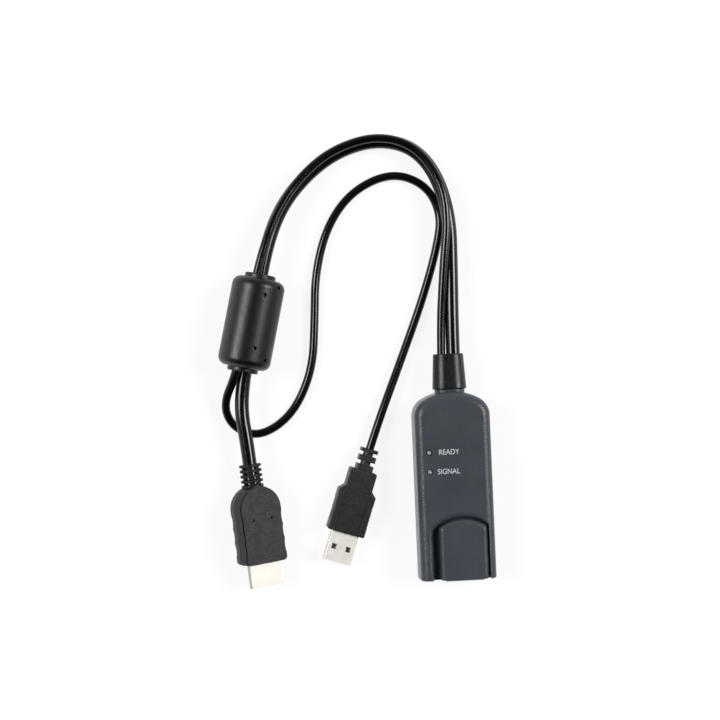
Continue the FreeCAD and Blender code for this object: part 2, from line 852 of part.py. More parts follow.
def cord_tie(channels):
    """Band round both cords just inside the flange, which takes their pull."""
    y1 = flange_front - free_clearance
    y0 = y1 - tie_width
    left = data_cord_x - data_cord_diameter / 2
    right = video_cord_x + video_cord_diameter / 2
    height = video_cord_diameter + 2 * tie_thickness
    band = stadium_bar(right - left + 2 * tie_thickness, height, y0, y1, cord_height)
    band.translate(V((left + right) / 2, 0, 0))
    lock_bottom = cord_height + (height - tie_thickness) / 2
    lock = box(video_cord_x - tie_lock_width / 2, video_cord_x + tie_lock_width / 2, y0, y1,
               lock_bottom, lock_bottom + tie_lock_height)
    return union([band, lock]).cut(channels)


def cord_wire(points):
    """Straight runs joined by tangent arcs, each as large as its two runs allow."""
    places = [V(*p) for p in points]
    edges, radii = [], []
    start = places[0]
    for before, corner, after in zip(places, places[1:], places[2:]):
        back, ahead = before - corner, after - corner
        reach = 0.45 * min(back.Length, ahead.Length)
        back.normalize()
        ahead.normalize()
        turn = math.pi - back.getAngle(ahead)
        radius = reach / math.tan(turn / 2)
        inward = back + ahead
        inward.normalize()
        centre = corner + inward * (radius / math.cos(turn / 2))
        first, last = corner + back * reach, corner + ahead * reach
        edges.append(Part.LineSegment(start, first).toShape())
        edges.append(Part.Arc(first, centre - inward * radius, last).toShape())
        radii.append(radius)
        start = last
    edges.append(Part.LineSegment(start, places[-1]).toShape())
    return Part.Wire(edges), radii


def cord_tube(name, points, diameter):
    path, radii = cord_wire(points)
    heading = V(*points[1]) - V(*points[0])
    section = Part.Wire(Part.makeCircle(diameter / 2, V(*points[0]), heading))
    tube = path.makePipeShell([section], True, False)
    expected = math.pi * diameter ** 2 / 4 * path.Length
    print(name, "length", round(path.Length, 1), "radii", [round(r, 1) for r in radii])
    print(name, "volume over section times length", round(tube.Volume / expected, 5), tube.isValid())
    return tube


# ---- Ferrite -------------------------------------------------------------------------------------
def spun(points):
    """Solid of revolution about the Y axis from (radius, y) points."""
    outline = Part.makePolygon([V(r, y, 0) for r, y in points + points[:1]])
    return Part.Face(outline).revolve(V(0, 0, 0), Y_AXIS, 360)


def ferrite_seat(shape):
    return place(shape, ferrite_x, ferrite_y, ferrite_radius, ferrite_heading)


def ferrite_core():
    bore, rim, end = core_bore / 2, core_diameter / 2, core_length / 2
    ring = spun([(bore, -end), (rim, -end), (rim, end), (bore, end)])
    return ferrite_seat(rounded(ring, core_round, lambda e: abs(e.BoundBox.XMax - rim) < 0.01))


def barrel(diameter, half_length, radius):
    """Cylinder about the Y axis with rounded ends."""
    body = Part.makeCylinder(diameter / 2, 2 * half_length, V(0, -half_length, 0), Y_AXIS)
    ends = lambda e: lies_at(e, "Y", half_length) or lies_at(e, "Y", -half_length)
    return rounded(body, radius, ends) if radius else body


def ferrite_moulding(channels):
    body = barrel(2 * ferrite_radius, ferrite_half_length, ferrite_round)
    collar = barrel(collar_diameter, ferrite_half_length + collar_length, collar_round)
    cavity = barrel(core_diameter + 2 * fit_clearance, core_length / 2 + fit_clearance, 0)
    moulding = union([body, collar]).cut([cavity] + pin_holes())
    return ferrite_seat(moulding).cut(channels)


def pin_holes():
    """Holes through the moulding to the core, the same above and below."""
    holes = []
    for spacing, turn in ((inner_pin_spacing, inner_pin_turn), (outer_pin_spacing, outer_pin_turn)):
        for y in (pin_hole_shift - spacing / 2, pin_hole_shift + spacing / 2):
            for side in (0, 180):
                hole = upright(pin_hole_diameter, 0, y, core_diameter / 2, ferrite_radius + overcut)
                hole.rotate(V(0, y, 0), Y_AXIS, turn + side)
                holes.append(hole)
    return holes


# ---- Video plug, drawn with its cord entry at the origin and its nose along -Y -------------------
def video_seat(shape):
    return place(shape, video_plug_x, video_plug_y, video_plug_z, video_plug_heading, video_plug_roll)


def video_outline(width, z):
    """Plan of the plug's body: round rear, scalloped sides and a square front."""
    half = width / 2
    rear = -video_relief_length
    front = rear - video_body_length
    middle_rear = rear - video_body_width / 2
    corner = video_front_corner
    scallop_end = front + scallop_front_margin
    scallop_start = scallop_end + scallop_count * scallop_length
    edges = [arc((half, middle_rear, z), (0, middle_rear + half, z), (-half, middle_rear, z))]
    for side in (-1, 1):
        x = side * half
        edges.append(line((x, middle_rear, z), (x, scallop_start, z)))
        for index in range(scallop_count):
            y0 = scallop_start - index * scallop_length
            y1 = y0 - scallop_length
            edges.append(arc((x, y0, z), (x - side * scallop_depth, (y0 + y1) / 2, z), (x, y1, z)))
        edges.append(line((x, scallop_end, z), (x, front + corner, z)))
        cut = corner * (1 - math.sqrt(0.5))
        bend = (x - side * cut, front + cut, z)
        edges.append(arc((x, front + corner, z), bend, (x - side * corner, front, z)))
    edges.append(line((-half + corner, front, z), (half - corner, front, z)))
    return Part.Wire(Part.__sortEdges__(edges))


def relief_ribs():
    """Ribbed sleeve round the cord, with a ring of windows between each two ribs."""
    core = relief_core_diameter / 2
    sleeve = Part.makeCylinder(core, video_relief_length + core, V(0, 0, 0), V(0, -1, 0))
    pitch = video_relief_length / (relief_rib_count - 1)
    half = relief_window_width / 2
    ribs, windows = [], []
    for index in range(relief_rib_count):
        y = -index * pitch
        rib = Part.makeCylinder(relief_rib_diameter / 2, relief_rib_thickness, V(0, y, 0), V(0, -1, 0))
        ribs.append(rounded(rib, relief_rib_round, lambda e: e.Closed))
    for index in range(relief_rib_count - 1):
        y = -index * pitch
        for turn in range(relief_window_count):
            window = box(-half, half, y - pitch, y - relief_rib_thickness, 0, core + overcut)
            window.rotate(V(0, 0, 0), Y_AXIS, 360 / relief_window_count * turn)
            windows.append(window)
    return union([sleeve.cut(windows)] + ribs)


def video_metal_outline(y, inset):
    """Section of the plug's metal tube: full width above, drawn in below."""
    half, top = video_metal_width / 2, video_metal_height / 2
    chamfer = video_metal_chamfer
    outline = Part.makePolygon([
        V(-half, y, top), V(half, y, top), V(half, y, -top + chamfer), V(half - chamfer, y, -top),
        V(-half + chamfer, y, -top), V(-half, y, -top + chamfer), V(-half, y, top)])
    return outline.makeOffset2D(-inset) if inset else outline


def video_metal_bar(y0, y1, inset):
    return Part.Face(video_metal_outline(y0, inset)).extrude(V(0, y1 - y0, 0))


def plate_marks(face, side):
    """Pad and mould marks sunk into one plate, whose outer face is at the given height."""
    rear = -video_relief_length
    low, high = sorted((side * (face - label_depth), side * (face + overcut)))
    top = rear - label_reach
    pad = box(-label_width / 2, label_width / 2, top - label_length, top, low, high)
    marks = [rounded(pad, label_round, lies_upright)]
    for x in (-mould_mark_spacing / 2, mould_mark_spacing / 2):
        low, high = sorted((side * (face - mould_mark_depth), side * (face + overcut)))
        marks.append(upright(mould_mark_diameter, x, rear - mould_mark_reach, low, high))
    return marks


def video_plug_moulding():
    middle = video_outline(video_body_width, 0)
    plate_base = video_body_thickness / 2 - video_plate_thickness
    halves = []
    for side in (-1, 1):
        shoulder = video_outline(video_shoulder_width, side * plate_base)
        halves.append(Part.makeLoft([middle, shoulder], True, True))
        cap = Part.Face(video_outline(video_plate_width, side * plate_base))
        halves.append(cap.extrude(V(0, 0, side * video_plate_thickness)))
    body = union(halves + [relief_ribs()])
    pocket = video_metal_bar(video_body_front - overcut, video_body_front + video_metal_root, 0)
    face = video_body_thickness / 2
    cuts = [cord_bore(video_cord_diameter, video_cord_reach), pocket]
    return video_seat(body.cut(cuts + plate_marks(face, 1) + plate_marks(face, -1)))


def video_plug_shell():
    root = video_body_front + video_metal_root
    tube = video_metal_bar(video_nose, root, 0).cut(
        video_metal_bar(video_nose - overcut, root + overcut, metal_thickness))
    return video_seat(tube)


def video_slot():
    half = video_metal_width / 2 - metal_thickness - video_slot_margin
    return half, video_slot_height / 2


def video_plug_insulator():
    root = video_body_front + video_metal_root
    front = video_nose + metal_thickness
    half, top = video_slot()
    core = video_metal_bar(front, root, metal_thickness)
    return video_seat(core.cut(box(-half, half, front - overcut, front + video_slot_depth, -top, top)))


def video_plug_contacts():
    front = video_nose + metal_thickness
    top = video_slot()[1]
    strips = []
    for side, count in ((1, video_contact_count), (-1, video_contact_count - 1)):
        low, high = sorted((side * top, side * (top - video_contact_thickness)))
        for index in range(count):
            x = (index - (count - 1) / 2) * video_contact_pitch
            strips.append(box(x - video_contact_width / 2, x + video_contact_width / 2,
                              front + video_contact_inset, front + video_slot_depth, low, high))
    return video_seat(Part.makeCompound(strips))


# ---- Data plug, drawn the same way ---------------------------------------------------------------
def data_seat(shape):
    return place(shape, data_plug_x, data_plug_y, data_plug_z, data_plug_heading, data_plug_roll)


def data_relief():
    """Sleeve round the cord with two full ribs and a thinner one at its tip."""
    pieces = [Part.makeCylinder(data_relief_core / 2, data_relief_length + overcut, V(0, 0, 0), V(0, -1, 0))]
    thick, half, high = data_relief_rib_thickness, data_relief_rib_width / 2, data_relief_rib_height / 2
    pitch = (data_relief_length - data_relief_tip_thickness) / (data_relief_rib_count - 1)
    spans = [(-data_relief_tip_thickness, 0)]
    for index in range(data_relief_rib_count - 1):
        end = -data_relief_length + index * pitch
        spans.append((end, end + thick))
    for low, high_y in spans:
        rib = box(-half, half, low, high_y, -high, high)
        pieces.append(rounded(rib, data_relief_rib_round, lambda e: e.BoundBox.YLength > overcut))
    return pieces


def data_body():
    rear, half, thick = -data_relief_length, data_rear_width / 2, data_body_thickness / 2
    wide = data_front_width / 2
    corners = [(half, rear), (half, rear - data_step_start), (wide, rear - data_step_end),
               (wide, data_body_front), (-wide, data_body_front), (-wide, rear - data_step_end),
               (-half, rear - data_step_start), (-half, rear), (half, rear)]
    body = Part.Face(Part.makePolygon([V(x, y, -thick) for x, y in corners])).extrude(V(0, 0, 2 * thick))
    body = rounded(body, data_corner_round, lies_upright)
    return rounded(body, data_edge_round, lambda e: lies_at(e, "Z", thick) or lies_at(e, "Z", -thick))


def data_body_cuts():
    """Grooves across both sides, and the shallow panel in the upper and the lower face."""
    rear, wide, thick = -data_relief_length, data_front_width / 2, data_body_thickness / 2
    cuts = []
    for index in range(grip_count):
        y = rear - grip_reach - index * grip_pitch
        cuts.append(box(wide - grip_depth, wide + overcut, y - grip_width, y, -thick, thick))
        cuts.append(box(-wide - overcut, -wide + grip_depth, y - grip_width, y, -thick, thick))
    half, sunk = data_panel_width / 2, thick - data_panel_depth
    for z0, z1 in ((sunk, thick + overcut), (-thick - overcut, -sunk)):
        panel = box(-half, half, data_body_front + data_panel_front, rear - data_panel_rear, z0, z1)
        cuts.append(rounded(panel, data_panel_round, lies_upright))
    return cuts


def data_plug_moulding():
    pocket = data_metal_bar(data_body_front - overcut, data_body_front + data_metal_root, 0)
    cuts = [cord_bore(data_cord_diameter, data_cord_reach), pocket]
    return data_seat(union([data_body()] + data_relief()).cut(cuts + data_body_cuts()))


def data_metal_bar(y0, y1, inset):
    half, top = data_metal_width / 2 - inset, data_metal_height / 2 - inset
    bar = box(-half, half, y0, y1, -top, top)
    return rounded(bar, data_metal_round - inset, lambda e: e.BoundBox.YLength > overcut)


def data_plug_shell():
    root = data_body_front + data_metal_root
    tube = data_metal_bar(data_nose, root, 0).cut(
        data_metal_bar(data_nose - overcut, root + overcut, metal_thickness))
    y = data_nose + data_window_reach
    half, reach = data_window_width / 2, data_window_length / 2
    windows = []
    for x in (-data_window_spacing / 2, data_window_spacing / 2):
        windows.append(box(x - half, x + half, y - reach, y + reach, -data_metal_height, data_metal_height))
    return data_seat(tube.cut(windows))


def data_plug_insulator():
    """Tongue against the floor of the metal tube, with a block that closes its root."""
    root = data_body_front + data_metal_root
    inside = data_metal_bar(data_nose + data_insulator_inset, root, metal_thickness)
    low = data_metal_height / 2 - metal_thickness
    space = box(-data_metal_width, data_metal_width, data_nose, data_body_front + overcut,
                -low + data_insulator_thickness, data_metal_height)
    return data_seat(inside.cut(space))


def data_plug_contacts():
    top = -data_metal_height / 2 + metal_thickness + data_insulator_thickness
    strips = []
    for index in range(data_contact_count):
        x = (index - (data_contact_count - 1) / 2) * data_contact_pitch
        lead = data_contact_lead if index in (0, data_contact_count - 1) else 0
        start = data_nose + data_contact_inset - lead
        strips.append(box(x - data_contact_width / 2, x + data_contact_width / 2, start,
                          data_body_front + overcut, top, top + data_contact_thickness))
    return data_seat(Part.makeCompound(strips))


# ---- Build ---------------------------------------------------------------------------------------
os.makedirs("parts", exist_ok=True)
export("top_cover", top_cover())
export("bottom_cover", bottom_cover())
export("housing_screws", housing_screws())
export("circuit_board", circuit_board())
export("main_chip", main_chip())
export("memory_chip", memory_chip())
export("network_transformer", network_transformer())
export("crystal", crystal())
export("capacitors", capacitors())
export("video_cord_header", cord_header((header_span - video_header_width) / 2, video_header_width))
export("data_cord_header", cord_header((data_header_width - header_span) / 2, data_header_width))
export("indicator_lamps", indicator_lamps())
export("power_light_pipe", light_pipe(power_y))
export("active_light_pipe", light_pipe(active_y))
export("network_jack_housing", network_jack_housing())
export("network_jack_shield", network_jack_shield())
export("network_jack_contacts", network_jack_contacts())
cord_channels = [
    cord_tube("video channel", video_route, video_cord_diameter + cord_clearance),
    cord_tube("data channel", data_route, data_cord_diameter + cord_clearance),
]
export("strain_boot", strain_boot(cord_channels))
export("cord_tie", cord_tie(cord_channels))
export("video_cord", cord_tube("video cord", video_route, video_cord_diameter))
export("data_cord", cord_tube("data cord", data_route, data_cord_diameter))
export("ferrite_core", ferrite_core())
export("ferrite_moulding", ferrite_moulding(cord_channels))
export("video_plug_moulding", video_plug_moulding())
export("video_plug_shell", video_plug_shell())
export("video_plug_insulator", video_plug_insulator())
export("video_plug_contacts", video_plug_contacts())
export("data_plug_moulding", data_plug_moulding())
export("data_plug_shell", data_plug_shell())
export("data_plug_insulator", data_plug_insulator())
export("data_plug_contacts", data_plug_contacts())
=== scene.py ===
import math

import bmesh
import bpy
from mathutils import Matrix, Vector


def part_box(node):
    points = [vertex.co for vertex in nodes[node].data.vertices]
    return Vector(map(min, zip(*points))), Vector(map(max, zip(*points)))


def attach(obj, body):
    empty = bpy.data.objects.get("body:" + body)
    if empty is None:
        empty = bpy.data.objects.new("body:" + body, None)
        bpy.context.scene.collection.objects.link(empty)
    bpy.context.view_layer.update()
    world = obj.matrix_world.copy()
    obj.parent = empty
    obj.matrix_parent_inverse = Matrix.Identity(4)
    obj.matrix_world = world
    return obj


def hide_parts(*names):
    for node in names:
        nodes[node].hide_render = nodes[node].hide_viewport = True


# Looks of a server interface module: a moulded housing with a network jack, a strain boot, and two
# cords that share a ferrite and end in a video plug and a data plug. All places are in metres in
# the part's own frame: +Z up, the boot to +Y, the jack to -Y, and z = 0 is the table.

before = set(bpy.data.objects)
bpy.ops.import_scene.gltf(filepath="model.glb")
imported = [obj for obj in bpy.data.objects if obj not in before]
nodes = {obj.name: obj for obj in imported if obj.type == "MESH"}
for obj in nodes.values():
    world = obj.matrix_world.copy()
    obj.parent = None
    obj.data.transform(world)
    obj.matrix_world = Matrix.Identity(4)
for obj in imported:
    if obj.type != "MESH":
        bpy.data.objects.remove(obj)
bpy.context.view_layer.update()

MM = 0.001


# ---- Camera --------------------------------------------------------------------------------------
CAMERA_PLACE = Vector((-72.7, 46.3, 648.2)) * MM
CAMERA_AIM = Vector((-36.9, 46.6, 0.0)) * MM
CAMERA_ROLL = math.radians(2.43)      # turns the view, so that the housing leans left
CAMERA_LENS = 75.74                   # millimetres, for the sensor below
CAMERA_SENSOR = 36.0


def make_camera():
    """A camera above the table, nearly square to it."""
    back = (CAMERA_PLACE - CAMERA_AIM).normalized()
    upward = Vector((math.sin(CAMERA_ROLL), math.cos(CAMERA_ROLL), 0.0))
    right = upward.cross(back).normalized()
    up = back.cross(right)
    data = bpy.data.cameras.new("camera")
    data.lens = CAMERA_LENS
    data.sensor_width = CAMERA_SENSOR
    camera = bpy.data.objects.new("camera", data)
    turn = Matrix((right, up, back)).transposed().to_4x4()
    camera.matrix_world = Matrix.Translation(CAMERA_PLACE) @ turn
    bpy.context.collection.objects.link(camera)
    bpy.context.scene.camera = camera


make_camera()


# ---- Cords ---------------------------------------------------------------------------------------
VIDEO_CORD_DIAMETER = 6.0 * MM
DATA_CORD_DIAMETER = 3.6 * MM

# Control points of each cord in millimetres, from inside the housing to its plug
VIDEO_ROUTE = [
    (2.05, 22.1, 9.0),
    (2.05, 54.0, 9.0),
    (3.2, 86.0, 6.8),
    (3.5, 105.4, 6.0),
    (-1.0, 124.0, 5.0),
    (-10.5, 136.5, 3.5),
    (-25.7, 140.5, 3.05),
    (-42.1, 136.4, 3.05),
    (-56.3, 126.7, 4.4),
    (-68.8, 111.9, 7.0),
    (-76.2, 92.0, 8.5),
    (-81.3, 65.1, 8.75),
    (-86.9, 40.9, 8.75),
    (-88.4, 27.1, 8.8),
    (-86.44, 13.63, 9.1),
    (-85.26, 0.28, 9.1),
]
DATA_ROUTE = [
    (-3.15, 22.1, 9.0),
    (-3.15, 54.0, 9.0),
    (-0.4, 86.0, 10.7),
    (2.0, 104.5, 11.0),
    (0.2, 120.5, 10.2),
    (-9.5, 136.0, 8.5),
    (-25.5, 141.4, 7.95),
    (-43.5, 136.9, 7.95),
    (-57.4, 127.0, 9.3),
    (-69.0, 112.2, 11.9),
    (-77.4, 92.3, 13.25),
    (-83.4, 68.0, 13.2),
    (-89.6, 43.0, 13.3),
    (-95.7, 30.7, 7.0),
    (-92.9, 21.0, 2.8),
    (-83.2, 16.0, 1.9),
    (-72.8, 19.9, 1.9),
    (-63.9, 29.1, 1.9),
    (-57.3, 44.9, 1.9),
    (-55.7, 64.1, 1.9),
    (-54.6, 84.4, 1.9),
    (-48.6, 104.6, 1.9),
    (-37.2, 119.1, 1.9),
    (-19.9, 126.3, 1.9),
    (-5.3, 120.3, 1.9),
    (0.5, 107.4, 1.9),
    (-2.0, 93.5, 1.9),
    (-8.6, 72.9, 1.9),
    (-18.3, 48.7, 1.9),
    (-32.1, 16.16, 4.65),
    (-38.28, -1.8, 4.65),
]


def lay_cord(name, route, diameter):
    """One open NURBS line through a cord's route, with a round jacket on it.
    The jacket's size is on the points, so that the curve's own box is the jacket's box."""
    curve = bpy.data.curves.new(name, "CURVE")
    curve.dimensions = "3D"
    curve.bevel_depth = 1.0
    curve.bevel_resolution = 8
    curve.resolution_u = 16
    curve.use_fill_caps = True
    spline = curve.splines.new("NURBS")
    spline.points.add(len(route) - 1)
    for point, place in zip(spline.points, route):
        point.co = (*(value * MM for value in place), 1.0)
        point.radius = diameter / 2
    spline.order_u = 3
    spline.use_endpoint_u = True
    cord = bpy.data.objects.new(name, curve)
    bpy.context.collection.objects.link(cord)
    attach(cord, "root")
    return cord


video_flex = lay_cord("video_flex", VIDEO_ROUTE, VIDEO_CORD_DIAMETER)
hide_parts("video_cord")

data_flex = lay_cord("data_flex", DATA_ROUTE, DATA_CORD_DIAMETER)
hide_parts("data_cord")


# ---- Shader helpers ------------------------------------------------------------------------------
NOISE_RANGE = (0.3, 0.7)              # nearly all noise values lie between these
WAVE_SIZE = 7.0                       # millimetres, of the waves that shrinkage leaves in mouldings
TINT_SIZE = 14.0                      # millimetres, of the slow drift in a moulding's colour
SHEEN_SIZE = 2.4                      # millimetres, of the drift in a moulding's roughness
PLATE_TINT_SIZE = 5.0                 # the same drift in colour, on plated metal
PLATE_GRAIN_DEPTH = 0.0006            # millimetres


def colour(code):
    """An sRGB hex value such as 3f4448 as the linear colour that shaders use."""
    channels = [int(code[start:start + 2], 16) / 255 for start in (0, 2, 4)]
    linear = [c / 12.92 if c <= 0.04045 else ((c + 0.055) / 1.055) ** 2.4 for c in channels]
    return (*linear, 1.0)


def add(tree, kind, inputs=None, **settings):
    """Add a node with its settings. An input is a plain value or another node's output."""
    node = tree.nodes.new("ShaderNode" + kind)
    for name, value in settings.items():
        setattr(node, name, value)
    for socket, value in (inputs or {}).items():
        if isinstance(value, bpy.types.NodeSocket):
            tree.links.new(value, node.inputs[socket])
        else:
            node.inputs[socket].default_value = value
    return node


def new_material(name):
    material = bpy.data.materials.new(name)
    material.use_nodes = True
    tree = material.node_tree
    tree.nodes.clear()
    output = add(tree, "OutputMaterial")
    return material, tree, output


def per_metre(size_mm):
    """Noise scale whose features are about this many millimetres across."""
    return 1.0 / (size_mm * MM)


def cloud(tree, size_mm, low, high, detail=2.0):
    """Noise on the object's own coordinates, mapped to a range of values."""
    place = add(tree, "TexCoord")
    noise = add(tree, "TexNoise", {"Vector": place.outputs["Object"], "Scale": per_metre(size_mm),
                                   "Detail": detail})
    spread = add(tree, "MapRange", {
        "Value": noise.outputs["Fac"], "From Min": NOISE_RANGE[0], "From Max": NOISE_RANGE[1],
        "To Min": low, "To Max": high,
    })
    return spread.outputs["Result"]


def shade(tree, dark, light, size_mm):
    """Slow drift between two close colours."""
    mix = add(tree, "Mix", {"Factor": cloud(tree, size_mm, 0.0, 1.0)}, data_type="RGBA")
    mix.inputs["A"].default_value = colour(dark)
    mix.inputs["B"].default_value = colour(light)
    return mix.outputs["Result"]


def grain(tree, size_mm, depth_mm, below=None):
    """Bump of an even grain, on top of another bump if there is one."""
    bump = add(tree, "Bump", {
        "Height": cloud(tree, size_mm, 0.0, 1.0, detail=1.0),
        "Distance": depth_mm * MM,
        "Strength": 1.0,
    })
    if below:
        tree.links.new(below, bump.inputs["Normal"])
    return bump.outputs["Normal"]


def moulded(name, dark, light, roughness, grain_mm, grain_depth, waviness=0.004, ior=1.5):
    """A moulded plastic: nearly even colour, a textured skin and a slight waviness from shrinkage.
    roughness is a range; grain_mm, grain_depth and waviness are in millimetres."""
    material, tree, output = new_material(name)
    skin = grain(tree, grain_mm, grain_depth, grain(tree, WAVE_SIZE, waviness))
    low, high = roughness
    shader = add(tree, "BsdfPrincipled", {
        "Base Color": shade(tree, dark, light, TINT_SIZE),
        "Roughness": cloud(tree, SHEEN_SIZE, low, high),
        "IOR": ior,
        "Normal": skin,
    })
    tree.links.new(shader.outputs["BSDF"], output.inputs["Surface"])
    return material


def plated(name, dark, light, roughness, scuff_mm):
    """A thin plating on sheet metal: metallic, with faint rolling marks and handling haze."""
    material, tree, output = new_material(name)
    low, high = roughness
    shader = add(tree, "BsdfPrincipled", {
        "Base Color": shade(tree, dark, light, PLATE_TINT_SIZE),
        "Metallic": 1.0,
        "Roughness": cloud(tree, scuff_mm, low, high, detail=4.0),
        "Normal": grain(tree, scuff_mm, PLATE_GRAIN_DEPTH),
    })
    tree.links.new(shader.outputs["BSDF"], output.inputs["Surface"])
    return material


# ---- Finishes ------------------------------------------------------------------------------------
def housing_abs():
    """Moulded ABS with a fine spark-eroded texture: slate grey, with a soft sheen on its edges.
    The real grain is near 0.1 mm; it is drawn at 0.6 mm so that it shows."""
    return moulded("slate_abs_textured", "3f454b", "454b51", (0.27, 0.33), 0.6, 0.040, ior=1.42)


def soft_vinyl():
    """Soft injection-moulded vinyl: near black, satin, with a fine leathery grain."""
    return moulded("soft_black_vinyl", "07090c", "0b0d10", (0.33, 0.40), 0.6, 0.018)


def jacket_vinyl():
    """Extruded vinyl cord jacket: black and shiny, almost without texture."""
    return moulded("extruded_black_vinyl", "050607", "08090a", (0.12, 0.18), 1.6, 0.003, 0.003)


def black_vinyl():
    """Matt overmoulded vinyl, almost black, that reflects little."""
    return moulded("overmoulded_black_vinyl", "0f100f", "141514", (0.46, 0.54), 0.7, 0.032, ior=1.40)


def charcoal_vinyl():
    """Matt overmoulded vinyl, charcoal."""
    return moulded("overmoulded_charcoal_vinyl", "191b1a", "1f2120", (0.40, 0.48), 0.7, 0.038)


def flash_gold():
    """Thin gold flash over nickel: pale and slightly warm."""
    return plated("gold_flash_on_nickel", "bcb8b1", "c3beb7", (0.48, 0.52), 0.6)


def satin_nickel():
    """Satin nickel plating on stamped steel: a warm silver with a soft haze."""
    return plated("satin_nickel_plate", "f4f1ea", "faf8f3", (0.62, 0.70), 2.2)


def contact_nickel():
    """Nickel-plated spring contacts behind a plug's windows."""
    return plated("nickel_contact_plate", "8f908e", "9fa09d", (0.30, 0.40), 0.8)


def contact_gold():
    """Hard gold plating on sprung copper contacts."""
    return plated("hard_gold_plate", "d2a850", "e0b861", (0.18, 0.26), 0.5)


def tin_plate():
    """Dull tin plating on folded steel sheet and component cans."""
    return plated("dull_tin_plate", "aeb0b0", "c2c4c3", (0.30, 0.42), 0.9)


def zinc_screw():
    """Black zinc-plated screw steel."""
    return plated("black_zinc_steel", "46484b", "54565a", (0.32, 0.42), 0.6)


def jack_nylon():
    """Glass-filled nylon of the jack body: black with a dry, slightly speckled surface."""
    return moulded("glass_filled_nylon", "161718", "1c1d1e", (0.50, 0.62), 0.3, 0.012)


def plug_insulator():
    """Glossy white thermoplastic of a plug's contact carrier."""
    return moulded("white_contact_carrier", "dcdad3", "e4e2dc", (0.30, 0.38), 0.8, 0.004)


def laminate():
    """Glass-epoxy board under green solder mask."""
    return moulded("solder_mask_laminate", "0d3a23", "114630", (0.25, 0.35), 0.6, 0.006)


def chip_epoxy():
    """Moulded epoxy of chips and transformers: black, matt."""
    return moulded("moulded_chip_epoxy", "17181a", "1d1e20", (0.55, 0.65), 0.25, 0.008)


def header_nylon():
    """Natural nylon of the wire headers: ivory, slightly waxy."""
    return moulded("natural_nylon", "cfc8b4", "d8d2c0", (0.38, 0.46), 0.6, 0.005)


def tie_nylon():
    """Black nylon cable tie."""
    return moulded("black_tie_nylon", "121314", "17181a", (0.34, 0.42), 0.8, 0.006)


def sintered_ferrite():
    """Sintered ferrite ceramic: dark grey, dry and granular."""
    return moulded("sintered_ferrite", "2c2d2f", "343538", (0.55, 0.70), 0.4, 0.02, ior=2.0)


def lamp_resin():
    """Clear epoxy of a surface-mounted lamp over a yellowish phosphor."""
    return moulded("lamp_epoxy", "d8d3b0", "e3dfc4", (0.20, 0.28), 0.5, 0.003)


def light_pipe_clear():
    """Clear moulded polycarbonate light pipe. Its frosted tip is not drawn apart: the whole pipe has
    the same light haze.
    """
    material, tree, output = new_material("frosted_polycarbonate")
    shader = add(tree, "BsdfPrincipled", {
        "Base Color": shade(tree, "dfe3e4", "eef1f1", 2.0),
        "Roughness": cloud(tree, 0.6, 0.18, 0.30),
        "IOR": 1.58,
        "Transmission Weight": 0.55,
    })
    tree.links.new(shader.outputs["BSDF"], output.inputs["Surface"])
    return material


FINISHES = {
    housing_abs: ["top_cover", "bottom_cover"],
    soft_vinyl: ["strain_boot", "ferrite_moulding"],
    jacket_vinyl: [],                 # goes on the cords, below
    black_vinyl: ["video_plug_moulding"],
    charcoal_vinyl: ["data_plug_moulding"],
    flash_gold: ["video_plug_shell"],
    satin_nickel: ["data_plug_shell"],
    contact_nickel: ["data_plug_contacts"],
    contact_gold: ["network_jack_contacts", "video_plug_contacts"],
    tin_plate: ["network_jack_shield", "crystal", "capacitors"],
    zinc_screw: ["housing_screws"],
    jack_nylon: ["network_jack_housing", "video_plug_insulator"],
    plug_insulator: ["data_plug_insulator"],
    laminate: ["circuit_board"],
    chip_epoxy: ["main_chip", "memory_chip", "network_transformer"],
    header_nylon: ["video_cord_header", "data_cord_header"],
    tie_nylon: ["cord_tie"],
    sintered_ferrite: ["ferrite_core"],
    lamp_resin: ["indicator_lamps"],
    light_pipe_clear: ["power_light_pipe", "active_light_pipe"],
}


def dress_frame():
    """Make every finish once, and put it on its pieces."""
    made = {}
    for finish, names in FINISHES.items():
        made[finish] = finish()
        for name in names:
            for slot in nodes[name].material_slots:
                slot.material = made[finish]
    return made


finishes = dress_frame()
for flex in (video_flex, data_flex):
    flex.data.materials.append(finishes[jacket_vinyl])


# ---- Legends -------------------------------------------------------------------------------------
LEGEND_HEIGHT = 3.1 * MM              # of the type's body; its capitals are about 2.2 mm
LEGEND_CONDENSED = 0.90               # width of the type against its drawn width
LEGEND_LIFT = 0.012 * MM              # thickness of the pad-printed ink
LEGEND_END = 12.6 * MM                # from the middle of an indicator to the end of its word


def printing_ink():
    """Off-white pad-printing ink: matt, a little uneven where the pad lifted."""
    return moulded("pad_printing_ink", "d2d4d5", "dddfe0", (0.55, 0.65), 0.5, 0.002)


def print_word(word, lamp_pipe, ink):
    """A word printed to the right of an indicator, on the top cover."""
    low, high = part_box(lamp_pipe)
    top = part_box("top_cover")[1][2]
    text = bpy.data.curves.new(word, "FONT")
    text.body = word.upper()
    text.size = LEGEND_HEIGHT
    text.extrude = LEGEND_LIFT / 2
    text.align_x = "RIGHT"
    text.align_y = "CENTER"
    drawn = bpy.data.objects.new(word, text)
    bpy.context.collection.objects.link(drawn)
    bpy.context.view_layer.update()
    depsgraph = bpy.context.evaluated_depsgraph_get()
    mesh = bpy.data.meshes.new_from_object(drawn.evaluated_get(depsgraph))
    bpy.data.objects.remove(drawn)
    lamp_x, lamp_y = (low[0] + high[0]) / 2, (low[1] + high[1]) / 2
    end = Vector((lamp_x + LEGEND_END, lamp_y, top + LEGEND_LIFT / 2))
    mesh.transform(Matrix.Translation(end) @ Matrix.Diagonal((LEGEND_CONDENSED, 1.0, 1.0, 1.0)))
    mesh.materials.clear()
    mesh.materials.append(ink)
    piece = bpy.data.objects.new("legend_" + word, mesh)
    bpy.context.collection.objects.link(piece)
    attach(piece, "root")


